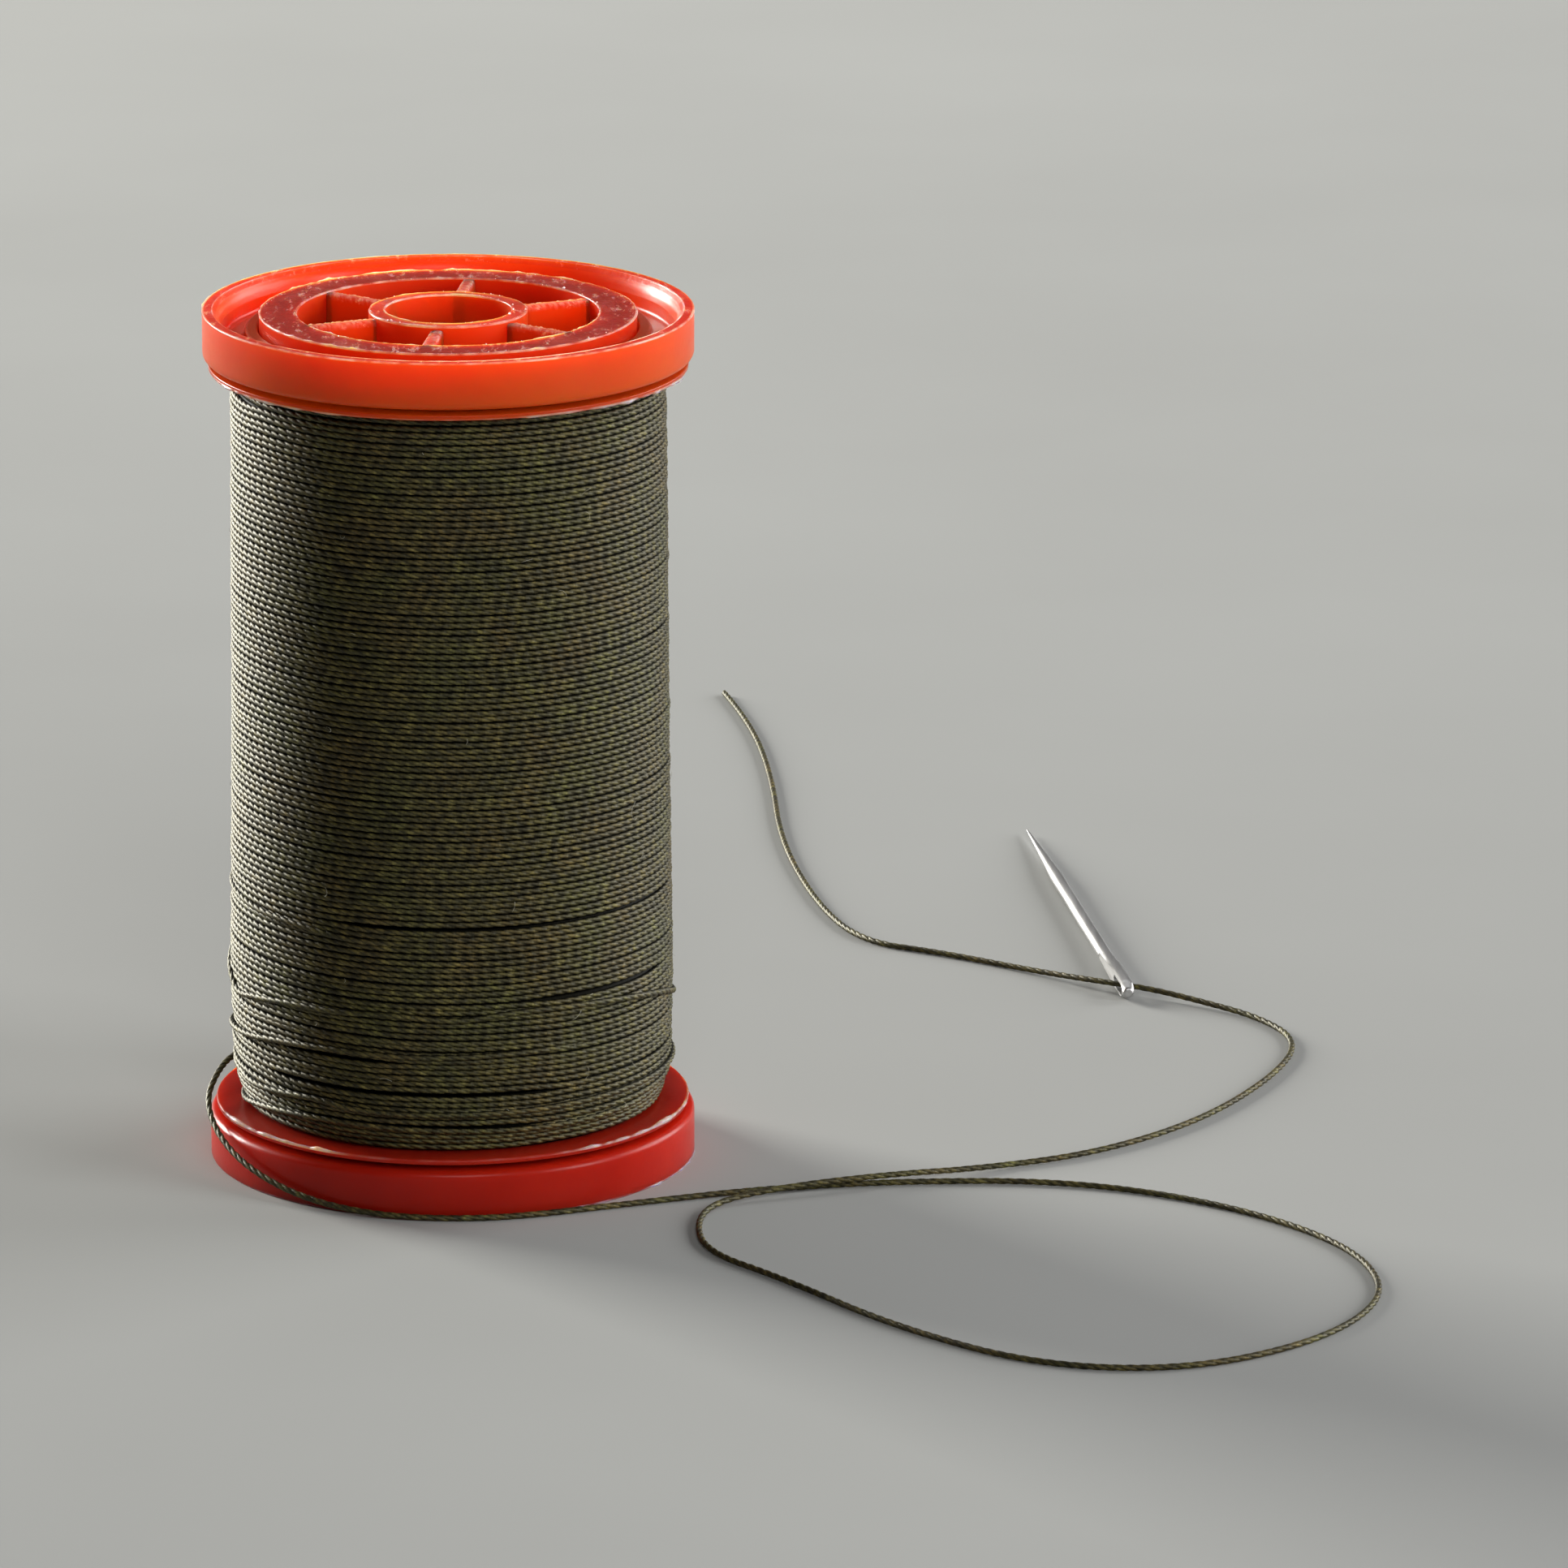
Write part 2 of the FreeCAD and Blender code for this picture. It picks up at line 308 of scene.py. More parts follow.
# Camera, standing about 0.69 m off and looking down a little
CAMERA_POSITION = Vector((0.0162, -0.6578, 0.2022))
CAMERA_YAW = math.radians(0.317)
CAMERA_PITCH = math.radians(15.27)
CAMERA_ROLL = math.radians(0.113)
CAMERA_LENS = 262.75
SENSOR_WIDTH = 36.0

# Studio
WORLD_LIGHT = 0.02
WORLD_BACKDROP = 0.5
FLOOR_REACH = 0.95

UP = Vector((0, 0, 1))
random = np.random.default_rng(20)


def add_camera():
    """Long lens at the photograph's viewing angle."""
    forward = Vector((
        math.sin(CAMERA_YAW) * math.cos(CAMERA_PITCH),
        math.cos(CAMERA_YAW) * math.cos(CAMERA_PITCH),
        -math.sin(CAMERA_PITCH),
    ))
    right = forward.cross(UP).normalized()
    up = right.cross(forward)
    rolled_right = math.cos(CAMERA_ROLL) * right + math.sin(CAMERA_ROLL) * up
    rolled_up = math.cos(CAMERA_ROLL) * up - math.sin(CAMERA_ROLL) * right
    data = bpy.data.cameras.new("camera")
    data.lens = CAMERA_LENS
    data.sensor_width = SENSOR_WIDTH
    camera = bpy.data.objects.new("camera", data)
    turn = Matrix((rolled_right, rolled_up, -forward)).transposed().to_4x4()
    camera.matrix_world = Matrix.Translation(CAMERA_POSITION) @ turn
    bpy.context.scene.collection.objects.link(camera)
    bpy.context.scene.camera = camera


def link_mesh(name, points, faces, smooth=True):
    """New object from points and faces."""
    mesh = bpy.data.meshes.new(name)
    mesh.from_pydata(points, [], faces)
    mesh.polygons.foreach_set("use_smooth", [smooth] * len(mesh.polygons))
    mesh.update()
    made = bpy.data.objects.new(name, mesh)
    bpy.context.scene.collection.objects.link(made)
    return made


def tube_faces(rings, corners, base=0):
    """Faces of a closed tube made of rings of points, the first of which is number base."""
    ring = base + np.arange(rings - 1)[:, None] * corners
    first = ring + np.arange(corners)
    after = ring + np.roll(np.arange(corners), -1)
    quads = np.stack([first, after, after + corners, first + corners], axis=2).reshape(-1, 4)
    start = list(range(base, base + corners))
    end = [corner + (rings - 1) * corners for corner in start]
    return quads.tolist() + [start[::-1], end]


# ---------------------------------------------------------------- thread shapes

def route_curve():
    """The tail's route as an open NURBS spline of order three."""
    curve = bpy.data.curves.new("tail_route", "CURVE")
    curve.dimensions = "3D"
    curve.resolution_u = TAIL_SAMPLES_PER_POINT
    spline = curve.splines.new("NURBS")
    spline.points.add(len(TAIL_ROUTE_MM) - 1)
    for point, place in zip(spline.points, TAIL_ROUTE_MM):
        point.co = (*(Vector(place) * MM), 1)
    spline.order_u = 3
    spline.use_endpoint_u = True
    return bpy.data.objects.new("tail_route", curve)


def points_along_route():
    """Points read from the route's own spline."""
    route = route_curve()
    bpy.context.scene.collection.objects.link(route)
    mesh = bpy.data.meshes.new_from_object(route)
    points = np.array([vertex.co for vertex in mesh.vertices])
    bpy.data.meshes.remove(mesh)
    bpy.data.objects.remove(route)
    return points


def length_so_far(points):
    """Distance from the first point to each point, along them."""
    steps = np.linalg.norm(np.diff(points, axis=0), axis=1)
    return np.concatenate([[0.0], np.cumsum(steps)])


def evenly_spaced(points, spacing):
    """The same line with points at equal distances."""
    along = length_so_far(points)
    wanted = np.linspace(0, along[-1], int(round(along[-1] / spacing)) + 1)
    return np.stack([np.interp(wanted, along, points[:, axis]) for axis in range(3)], axis=1)


def smooth_through(places, values, wanted):
    """Smooth curve through given values, with Catmull-Rom slopes."""
    places = np.asarray(places, float)
    values = np.asarray(values, float)
    slopes = np.gradient(values, places)
    part = np.clip(np.searchsorted(places, wanted, side="right") - 1, 0, len(places) - 2)
    width = places[part + 1] - places[part]
    t = np.clip((wanted - places[part]) / width, 0, 1)
    start = (1 + 2 * t) * (1 - t) ** 2 * values[part] + t * (1 - t) ** 2 * width * slopes[part]
    end = t ** 2 * (3 - 2 * t) * values[part + 1] - t ** 2 * (1 - t) * width * slopes[part + 1]
    return start + end


def ply_tube(name, centres, outward, start=0.0, nested=True):
    """Closed three-ply twisted thread along a line; a nested one lies in a layer.

    Its points carry the length along, the depth in a valley, and how far they face out; the last
    two darken the colour as painted shade and painted shadow.
    """
    along = length_so_far(centres) + start
    tangent = np.gradient(centres, axis=0)
    tangent /= np.linalg.norm(tangent, axis=1, keepdims=True)
    normal = outward - tangent * np.sum(outward * tangent, axis=1, keepdims=True)
    normal /= np.linalg.norm(normal, axis=1, keepdims=True)
    across = np.cross(tangent, normal)
    shape = np.tile(PLY_PROFILE, PLIES)
    corners = len(shape)
    twist = 2 * math.pi * along / LAY
    twist += sum(amount * np.sin(along / (length * MM)) for amount, length in LAY_DRIFT)
    angle = twist[:, None] + np.linspace(0, 2 * math.pi, corners, endpoint=False)
    reach = THREAD_RADIUS * shape * np.ones_like(angle)
    rings = (
        centres[:, None, :]
        + (reach * np.cos(angle))[:, :, None] * normal[:, None, :]
        + (reach * np.sin(angle))[:, :, None] * across[:, None, :]
    )
    tube = link_mesh(name, rings.reshape(-1, 3).tolist(), tube_faces(len(centres), corners))
    # Nested turns darken where they face sideways and inward: painted shadow between the turns. The
    # tail gets none.
    openness = np.cos(angle) if nested else np.ones_like(angle)
    valley = np.tile(PLY_VALLEY_SHADE, PLIES * len(centres))
    values = np.stack([np.repeat(along / MM, corners), valley, openness.ravel()], axis=1)
    lay = tube.data.attributes.new("lay", "FLOAT_VECTOR", "POINT")
    lay.data.foreach_set("vector", values.ravel())
    return tube


# ---------------------------------------------------------------- winding

def winding_radius(height):
    """Outer radius of the wound thread at a height."""
    heights, radii = np.array(WINDING_PROFILE_MM).T * MM
    return np.interp(height, heights, radii)


def wander(angle, amount):
    """Slow random drift along the thread."""
    knots = int(angle[-1] / (2 * math.pi) * JITTER_KNOTS_PER_TURN) + 2
    places = np.linspace(angle[0], angle[-1], knots)
    return smooth_through(places, random.normal(0, amount, knots), angle)


def opened_by_gaps(angle, height):
    """How far each turn is pushed up or down where the winding gapes."""
    shift = np.zeros_like(height)
    for level, first, last, width in GAPS:
        middle = math.radians((first + last) / 2)
        half = math.radians((last - first) / 2)
        offset = np.mod(angle - middle + math.pi, 2 * math.pi) - math.pi
        window = np.clip((half - np.abs(offset)) / GAP_FADE, 0, 1)
        window = window ** 2 * (3 - 2 * window)
        away = height + PITCH * offset / (2 * math.pi) - level * MM
        shift += 0.5 * width * MM * np.sign(away) * np.exp(-np.abs(away) / GAP_REACH) * window
    return shift


def main_winding():
    """The helix of the outer layer, from under the top lip to the foot."""
    low = WINDING_FOOT + THREAD_RADIUS
    high = WINDING_TOP - THREAD_RADIUS
    turns = (high - low) / PITCH
    steps_per_turn = int(2 * math.pi * MEAN_WINDING_RADIUS / LAY * RINGS_PER_LAY)
    angle = np.linspace(0, 2 * math.pi * turns, int(turns * steps_per_turn))
    height = high - PITCH * angle / (2 * math.pi)
    loose = 1 + FOOT_LOOSENESS * np.exp((low - height) / FOOT_REACH)
    moved = opened_by_gaps(angle, height) + loose * wander(angle, HEIGHT_JITTER)
    height = np.clip(height + moved, low, high)
    radius = winding_radius(height) - THREAD_RADIUS + loose * wander(angle, DEPTH_JITTER)
    return helix_points(angle, height, radius), outward_from_axis(angle), steps_per_turn


def helix_points(angle, height, radius):
    """Points round the spool's axis, from their angles, heights and radii."""
    return np.stack([radius * np.cos(angle), radius * np.sin(angle), height], axis=1)


def outward_from_axis(angle):
    """Directions straight out from the spool's axis."""
    return np.stack([np.cos(angle), np.sin(angle), np.zeros_like(angle)], axis=1)


def wind_outer_layer():
    """The outer layer, in lengths of some twelve turns each."""
    centres, outward, steps_per_turn = main_winding()
    along = length_so_far(centres)
    chunk = TURNS_PER_PIECE * steps_per_turn
    pieces = []
    for number, first in enumerate(range(0, len(centres) - 1, chunk), start=1):
        part = slice(first, min(first + chunk, len(centres) - 1) + 1)
        name = "outer_turns_%d" % number
        pieces.append(ply_tube(name, centres[part], outward[part], along[first]))
    return pieces


def loose_turn(name, controls):
    """A turn lying over the layer, sunk into it at its hidden ends."""
    degrees, height, lift = np.array(controls).T
    length = math.radians(degrees[-1] - degrees[0]) * MEAN_WINDING_RADIUS
    angle = np.linspace(degrees[0], degrees[-1], int(length / LAY * RINGS_PER_LAY))
    level = smooth_through(degrees, height, angle) * MM
    raised = smooth_through(degrees, lift, angle) * MM
    radius = winding_radius(level) - THREAD_RADIUS + raised
    angle = np.radians(angle)
    return ply_tube(name, helix_points(angle, level, radius), outward_from_axis(angle))


def wind_inner_layers():
    """The layer seen through the gaps: a sleeve ridged by its own turns."""
    low, high = (corner.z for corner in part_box("winding_inner_layers"))
    heights = np.linspace(low, high, int((high - low) / PITCH * INNER_ROWS_PER_TURN))
    ridge = np.abs(np.cos(math.pi * heights / PITCH))
    radii = winding_radius(heights) - INNER_DEPTH + INNER_RIDGE * (ridge - 1)
    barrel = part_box("barrel_tube")[1].x
    heights = np.concatenate([[low], heights, [high]])
    radii = np.concatenate([[barrel], radii, [barrel]])
    return lathe("inner_turns", radii, heights, INNER_STEPS_ROUND)


# ---------------------------------------------------------------- mouldings

def lathe(name, radii, heights, around):
    """Closed ring turned round the spool's axis from one closed outline.

    Radii and heights have one row for each step round the axis, or one row in all.
    """
    angle = np.linspace(0, 2 * math.pi, around, endpoint=False)[:, None]
    radii = np.atleast_2d(radii)
    rows = radii.shape[1]
    points = np.stack(np.broadcast_arrays(
        np.cos(angle) * radii, np.sin(angle) * radii, np.atleast_2d(heights)), axis=2)
    column = np.arange(around)[:, None] * rows
    following = np.roll(np.arange(around), -1)[:, None] * rows
    row = np.arange(rows)
    below = np.roll(row, -1)
    quads = np.stack([column + row, following + row, following + below, column + below], axis=2)
    return link_mesh(name, points.reshape(-1, 3).tolist(), quads.reshape(-1, 4).tolist())


def rounded_outline(corners):
    """Points of a closed outline with its corners rounded, and how ragged each point is."""
    places = [Vector(corner[:2]) for corner in corners]
    points, ragged = [], []
    for i, (_, _, rounding, flash) in enumerate(corners):
        back = (places[i - 1] - places[i]).normalized()
        ahead = (places[(i + 1) % len(places)] - places[i]).normalized()
        half = back.angle(ahead) / 2
        tangent = rounding / math.tan(half)
        centre = places[i] + (back + ahead).normalized() * (rounding / math.sin(half))
        first = places[i] + back * tangent
        last = places[i] + ahead * tangent
        points.append(first + back * EDGE_SUPPORT)
        ragged.append(0.0)
        for step in np.linspace(0, 1, ARC_POINTS if rounding else 1):
            spoke = (first - centre).lerp(last - centre, step)
            points.append(centre + spoke.normalized() * rounding)
            ragged.append(flash * math.sin(math.pi * step))
        points.append(last + ahead * EDGE_SUPPORT)
        ragged.append(0.0)
    return np.array(points), np.array(ragged)


def round_noise(count, knots):
    """Random values from 0 to 1 that join up round a circle."""
    values = random.uniform(0, 1, knots)
    places = np.arange(knots + 1) / knots
    return np.interp(np.arange(count) / count, places, np.append(values, values[0]))


def burrs(count, radius):
    """Height of torn flash along an edge: bursts of fine teeth with a few long ones."""
    bursts = round_noise(count, int(FLASH_BURSTS * radius)) ** 1.5
    fine = round_noise(count, int(FINE_TEETH * radius))
    long = round_noise(count, int(LONG_TEETH * radius)) ** 3
    return (LEAST_FLASH + (1 - LEAST_FLASH) * bursts) * (FINE_TOOTH * fine + LONG_TOOTH * long)


def roughly_trimmed(count, stretches):
    """Share of the flash left round the edge: most of it along the given stretches."""
    if not stretches:
        return np.ones(count)
    degrees = np.arange(count) * 360 / count
    left = np.zeros(count)
    for first, last in stretches:
        inside = np.minimum(degrees - first, last - degrees)
        left = np.maximum(left, np.clip(inside / TRIM_FADE, 0, 1))
    return TRIMMED_SHARE + (UNTRIMMED_SHARE - TRIMMED_SHARE) * left


def moulding(name, corners, top, stretches=()):
    """A turned moulding at one end of the spool, with ragged flash on its edges."""
    outline, ragged = rounded_outline(corners)
    outward = np.roll(outline, -1, axis=0) - np.roll(outline, 1, axis=0)
    outward = np.stack([outward[:, 1], -outward[:, 0]], axis=1)
    outward /= np.linalg.norm(outward, axis=1, keepdims=True)
    torn = np.zeros((ROUND, len(outline)))
    edge_of = np.cumsum(np.diff(ragged > 0, prepend=False))
    for edge in np.unique(edge_of[ragged > 0]):
        flash = burrs(ROUND, outline[0, 0]) * roughly_trimmed(ROUND, stretches)
        torn[:, edge_of == edge] = flash[:, None]
    room = np.where(outline[:, 0] > END_RING_RADIUS, np.inf, END_RING_RADIUS + SLIDE_CLEARANCE)
    radii = np.minimum(outline[:, 0] + torn * ragged * outward[:, 0], room)
    heights = np.maximum(outline[:, 1] + torn * ragged * outward[:, 1], 0)
    whitened = np.clip(ragged / FULLY_TORN, 0, 1) * np.clip(FLASH_WHITENING * torn, 0, 1)
    # Faces at the spool's ends are marked for wear and for painted shade, a darker colour than the
    # walls.
    faces_end = np.clip(-outward[:, 1], 0, 1) ** 2
    worn_and_shaded = np.broadcast_to(faces_end * (outline[:, 1] < WORN_AND_SHADED_DEPTH), whitened.shape)
    if top:
        radii, heights = radii[:, ::-1], SPOOL_HEIGHT / MM - heights[:, ::-1]
        whitened, worn_and_shaded = whitened[:, ::-1], worn_and_shaded[:, ::-1]
    made = lathe(name, radii * MM, heights * MM, ROUND)
    mark_wear_and_shade(made, whitened, worn_and_shaded)
    return made


def mark_wear_and_shade(piece, whitened, worn_and_shaded):
    """Where the plastic is torn pale, and where its end faces show wear and are darkened as painted
    shade.
    """
    for name, values in (("whitened", whitened), ("worn_and_shaded", worn_and_shaded)):
        layer = piece.data.attributes.new(name, "FLOAT", "POINT")
        layer.data.foreach_set("value", np.ravel(values).astype(float))


def hub_ribs():
    """Six radial ribs from the tube to the end flanges, crumbly on top."""
    low, high = RIB_RECESS, SPOOL_HEIGHT / MM - RIB_RECESS
    half = RIB_THICKNESS / 2
    right = [(share * half, high - depth, rough) for share, depth, rough in RIB_EDGE]
    left = [(-side, height, rough) for side, height, rough in reversed(right)]
    section = [(-half, low, 0), (half, low, 0), *right, *left]
    points, faces, whitened = [], [], []
    for rib in range(RIB_COUNT):
        turn = FIRST_RIB + rib * 2 * math.pi / RIB_COUNT
        faces += tube_faces(RIB_SECTIONS, len(section), base=len(points))
        teeth = random.uniform(*RIB_TEETH, (RIB_SECTIONS, len(section)))
        for radius, tooth in zip(np.linspace(*RIB_REACH, RIB_SECTIONS), teeth):
            for (side, height, rough), bite in zip(section, tooth):
                across = side * (1 + RIB_SIDE_TEAR * rough * bite)
                points.append((
                    radius * math.cos(turn) - across * math.sin(turn),
                    radius * math.sin(turn) + across * math.cos(turn),
                    height + rough * bite,
                ))
                whitened.append(RIB_WHITENING * rough * bite)
    ribs = link_mesh("hub_ribs", (np.array(points) * MM).tolist(), faces)
    # The rib tops are marked for wear and for painted shade.
    near_end = np.array(points)[:, 2] > high - RIB_WORN_AND_SHADED_DEPTH
    mark_wear_and_shade(ribs, np.clip(whitened, 0, 1), near_end)
    return ribs


def small_chip(centre, size):
    """Points and faces of one torn crumb: an uneven eight-sided lump."""
    spokes = np.array([(1, 0, 0), (-1, 0, 0), (0, 1, 0), (0, -1, 0), (0, 0, 1), (0, 0, -1)], float)
    reach = size * random.uniform(*CRUMB_SPOKES, (len(spokes), 1))
    points = centre + spokes * reach + random.normal(0, CRUMB_ROUGHNESS * size, spokes.shape)
    faces = [(0, 2, 4), (2, 1, 4), (1, 3, 4), (3, 0, 4), (2, 0, 5), (1, 2, 5), (3, 1, 5), (0, 3, 5)]
    return points, faces


def trimming_crumbs():
    """Pale crumbs left along the top edges of the hub and the end ring."""
    level = SPOOL_HEIGHT / MM
    points, faces = [], []
    for _ in range(CRUMB_COUNT):
        radius, depth = CRUMB_EDGES[random.integers(len(CRUMB_EDGES))]
        turn = random.uniform(0, 2 * math.pi)
        size = CRUMB_LEAST + CRUMB_SPREAD * random.uniform() ** 4
        centre = np.array((radius * math.cos(turn), radius * math.sin(turn), level - depth))
        centre += random.normal(0, CRUMB_SCATTER, 3) * (1, 1, 0)
        chip_points, chip_faces = small_chip(centre, size)
        faces += [tuple(len(points) + corner for corner in face) for face in chip_faces]
        points += (chip_points * MM).tolist()
    return link_mesh("trimming_crumbs", points, faces, smooth=False)


def stray_fibres():
    """Short loose filaments and lint standing a little off the winding."""
    points, faces = [], []
    for _ in range(FIBRE_COUNT):
        # a fibre's rings run the other way round, so its faces are turned over
        *sides, start, end = tube_faces(FIBRE_STEPS, FIBRE_SIDES, base=len(points))
        faces += [(a, d, c, b) for a, b, c, d in sides] + [start[::-1], end[::-1]]
        points += one_fibre()
    return link_mesh("stray_fibres", (np.array(points) * MM).tolist(), faces)


def one_fibre():
    """Points of one curved filament, as rings of a few points each."""
    turn = random.uniform(0, 2 * math.pi)
    height = random.uniform(WINDING_FOOT / MM + FIBRE_MARGIN, WINDING_TOP / MM - FIBRE_MARGIN)
    length = FIBRE_LEAST + FIBRE_SPREAD * random.uniform() ** 2
    lean = random.uniform(-FIBRE_LEAN, FIBRE_LEAN)
    curl = random.normal(0, FIBRE_CURL)
    lift = random.uniform(0.0, FIBRE_LIFT)
    thin = random.uniform(*FIBRE_RADII)
    radius = winding_radius(height * MM) / MM
    points = []
    for step in np.linspace(0, 1, FIBRE_STEPS):
        heading = lean + curl * step
        round_by = turn + length * step * math.cos(heading) / radius
        level = height + length * step * math.sin(heading)
        out = radius + FIBRE_GAP + lift * math.sin(FIBRE_ARCH * step)
        for around in np.linspace(0, 2 * math.pi, FIBRE_SIDES, endpoint=False):
            reach = out + thin * math.cos(around)
            place = round_by - thin * math.sin(around) * math.sin(heading) / reach
            up = level + thin * math.sin(around) * math.cos(heading)
            points.append((reach * math.cos(place), reach * math.sin(place), up))
    return points


# ---------------------------------------------------------------- materials

def new_material(name):
    """Empty material with a surface shader."""
    material = bpy.data.materials.new(name)
    material.use_nodes = True
    return material


def feed(material, socket, value):
    """Gives a socket its value, which may be another node's output."""
    if isinstance(value, bpy.types.NodeSocket):
        material.node_tree.links.new(value, socket)
    else:
        socket.default_value = value


def add_node(material, kind, inputs=None, **settings):
    """Shader node with its settings and inputs, where an input may be a link."""
    made = material.node_tree.nodes.new(kind)
    for name, value in settings.items():
        setattr(made, name, value)
    for name, value in (inputs or {}).items():
        feed(material, made.inputs[name], value)
    return made


def shade(material, inputs):
    """Sets or links inputs of the material's own surface shader."""
    surface = material.node_tree.nodes["Principled BSDF"]
    for name, value in inputs.items():
        feed(material, surface.inputs[name], value)


def noise(material, scale, detail=3.0, roughness=0.5, stretch=None):
    """Noise fixed to the piece; stretch squeezes it along an axis."""
    place = add_node(material, "ShaderNodeTexCoord").outputs["Object"]
    if stretch:
        squeezed = add_node(material, "ShaderNodeMapping", {"Vector": place, "Scale": stretch})
        place = squeezed.outputs["Vector"]
    texture = add_node(material, "ShaderNodeTexNoise", {
        "Vector": place, "Scale": scale, "Detail": detail, "Roughness": roughness,
    })
    return texture.outputs["Fac"]


def ramp(material, factor, *stops):
    """Colour ramp from (position, colour) stops."""
    made = add_node(material, "ShaderNodeValToRGB", {"Fac": factor})
    elements = made.color_ramp.elements
    for element, (position, colour) in zip(elements, stops):
        element.position = position
        element.color = (*colour, 1)
    for position, colour in stops[2:]:
        elements.new(position).color = (*colour, 1)
    return made.outputs["Color"]


def spread(material, factor, low, high, from_low=0.0, from_high=1.0):
    """The factor remapped to run from low to high."""
    made = add_node(material, "ShaderNodeMapRange", {
        "Value": factor, "From Min": from_low, "From Max": from_high, "To Min": low, "To Max": high,
    })
    return made.outputs["Result"]


def blended(material, factor, low, high, how="MIX"):
    """Mix from one colour to another, or product of both; each a link or a plain colour."""
    made = add_node(material, "ShaderNodeMix", data_type="RGBA", blend_type=how)
    colour_inputs = [socket for socket in made.inputs if socket.type == "RGBA"]
    feed(material, made.inputs["Factor"], factor)
    for socket, value in zip(colour_inputs, (low, high)):
        feed(material, socket, value)
    return next(socket for socket in made.outputs if socket.type == "RGBA")


def darkened(material, colour, factor):
    """The colour multiplied by another colour or a grey factor."""
    return blended(material, 1.0, colour, factor, how="MULTIPLY")


def calculated(material, operation, first, second):
    """Sum or product of two numbers, each a link or a plain number."""
    made = add_node(material, "ShaderNodeMath", operation=operation)
    for socket, value in zip(made.inputs, (first, second)):
        feed(material, socket, value)
    return made.outputs["Value"]


def mark(material, name):
    """A value that the mesh carries on its points."""
    return add_node(material, "ShaderNodeAttribute", attribute_name=name)


def bumped(material, height, strength, distance):
    """Normal that follows a height, in metres of depth."""
    made = add_node(material, "ShaderNodeBump", {
        "Height": height, "Strength": strength, "Distance": distance,
    })
    return made.outputs["Normal"]


def thread_material(name, shine):
    """Dark olive three-ply polyester: flecked fibres, painted shade in its ply valleys and painted
    shadow between turns, dry sheen.
    """
    material = new_material(name)
    fibre = noise(material, 9000, 4, 0.6)
    fleck = noise(material, 1700, 3, 0.65)
    tint = noise(material, 260, 2, 0.5)
    colour = ramp(
        material, fleck,
        (0.32, (0.010, 0.008, 0.003)),
        (0.46, (0.036, 0.030, 0.009)),
        (0.60, (0.088, 0.074, 0.022)),
        (0.74, (0.190, 0.165, 0.050)),
    )
    warm = ramp(material, tint, (0.35, (1.10, 0.92, 0.85)), (0.65, (0.95, 1.06, 0.92)))
    lay = add_node(material, "ShaderNodeSeparateXYZ", {
        "Vector": mark(material, "lay").outputs["Vector"],
    })
    # Painted shade in the ply valleys, and painted shadow where a turn faces its neighbours.
    valley = spread(material, lay.outputs["Y"], 1.0, 0.22)
    groove_shadow = spread(material, lay.outputs["Z"], 0.0, 1.0, 0.34, 0.66)
    for tone in (warm, valley, groove_shadow):
        colour = darkened(material, colour, tone)
    shade(material, {
        "Base Color": colour,
        "Roughness": spread(material, fibre, 0.4, 0.6),
        "Specular IOR Level": shine,
        "Specular Tint": (1.0, 0.95, 0.66, 1),
        "Normal": bumped(material, fibre, 0.6, 0.04 * MM),
    })
    return material


def plastic_material(name, deep, bright, dull):
    """Glossy translucent red-orange moulding: torn pale edges, end faces with wear and scratches,
    darkened as painted shade and flecked with painted glints.
    """
    material = new_material(name)
    cloud = noise(material, 180, 3, 0.5)
    skin = noise(material, 2600, 3, 0.55)
    scratch = noise(material, 1900, 5, 0.75, stretch=(1.0, 0.3, 1.0))
    smudge = noise(material, 420, 3, 0.6)
    worn_and_shaded = mark(material, "worn_and_shaded").outputs["Fac"]
    whitened = mark(material, "whitened").outputs["Fac"]
    colour = ramp(material, cloud, (0.3, deep), (0.7, bright))
    lighter = tuple(part + rub for part, rub in zip(dull, RUBBED_LIGHTER))
    # End-face colour: smudges of wear over a darker tone that is painted shade.
    rubbed_and_shaded = ramp(material, smudge, (0.5, dull), (0.8, lighter))
    # Pale scuffs: scratches, and painted glints.
    scuffs_and_glints = ramp(material, scratch, (0.55, (0.0, 0.0, 0.0)), (0.66, (0.9, 0.9, 0.9)))
    rubbed_and_shaded = blended(material, scuffs_and_glints, rubbed_and_shaded, SCUFF_AND_GLINT_COLOUR)
    colour = blended(material, worn_and_shaded, colour, rubbed_and_shaded)
    pale = calculated(material, "MULTIPLY", whitened, spread(material, skin, 0.35, 1.1))
    colour = blended(material, pale, colour, TORN_COLOUR)
    relief = calculated(material, "MULTIPLY", skin, spread(material, worn_and_shaded, 0.25, 2.0))
    matt = calculated(material, "MULTIPLY", worn_and_shaded, 0.06)
    gloss = spread(material, scratch, 0.24, 0.38)
    shade(material, {
        "Base Color": colour,
        "Roughness": calculated(material, "ADD", matt, gloss),
        "IOR": 1.49,
        "Specular IOR Level": 0.18,
        "Subsurface Weight": 0.85,
        "Subsurface Radius": (6 * MM, 2.1 * MM, 0.5 * MM),
        "Subsurface Scale": 1.0,
        "Normal": bumped(material, relief, 0.5, 0.05 * MM),
    })
    return material


def chip_material():
    """Torn plastic crumbs, pale pink."""
    material = new_material("torn_plastic")
    cloud = noise(material, 3000, 2, 0.5)
    shade(material, {
        "Base Color": ramp(material, cloud, (0.35, (0.86, 0.46, 0.38)), (0.65, (0.94, 0.82, 0.78))),
        "Roughness": spread(material, cloud, 0.25, 0.5),
    })
    return material


